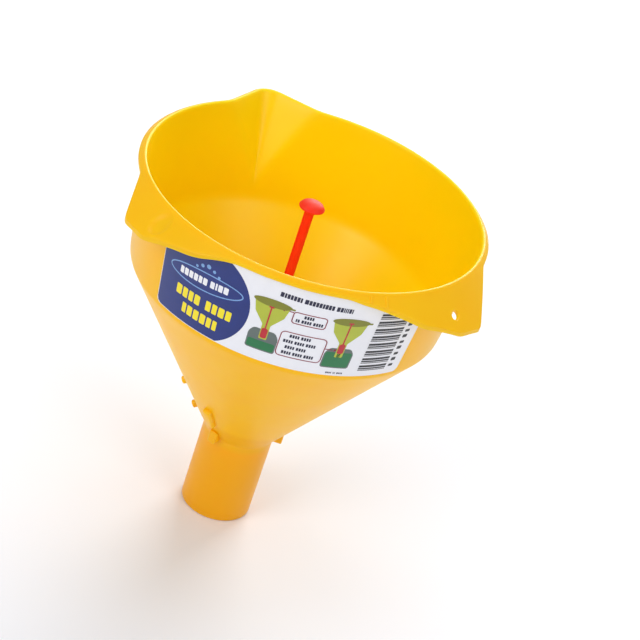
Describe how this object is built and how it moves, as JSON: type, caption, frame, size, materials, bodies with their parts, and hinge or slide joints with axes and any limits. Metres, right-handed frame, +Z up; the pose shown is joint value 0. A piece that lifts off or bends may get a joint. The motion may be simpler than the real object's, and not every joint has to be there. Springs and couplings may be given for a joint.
{
  "type": "automatic shut-off funnel",
  "caption": "Wide moulded funnel with a pour lip, hanging ear and printed label, and a push plunger whose float closes a valve in the spout.",
  "frame": {"origin": "centre of the spout's outlet", "axes": "+Z up along the spout's axis to the rim; the printed label faces -Y; the pour lip points between +Y and -X"},
  "size_m": [0.1725, 0.1742, 0.186],
  "materials": {
    "yellow_polyethylene": "semi-gloss moulded, slightly translucent",
    "label_film": "smooth printed film",
    "red_polypropylene": "semi-gloss moulded",
    "guide_plastic": "semi-gloss moulded",
    "nitrile_rubber": "matt moulded"
  },
  "bodies": {
    "funnel": {"funnel_body": "yellow_polyethylene", "label": "label_film", "rod_guide": "guide_plastic"},
    "plunger": {"plunger_rod": "red_polypropylene", "push_knob": "red_polypropylene", "stop_collar": "red_polypropylene", "float_shell": "red_polypropylene", "float_cap": "red_polypropylene", "valve_seal": "nitrile_rubber", "seal_retainer": "red_polypropylene"}
  },
  "joints": [
    {"name": "plunger_slide", "type": "slide", "parent": "funnel", "child": "plunger", "axis": [0, 0, 1], "range_m": [0, 0.0073]}
  ]
}
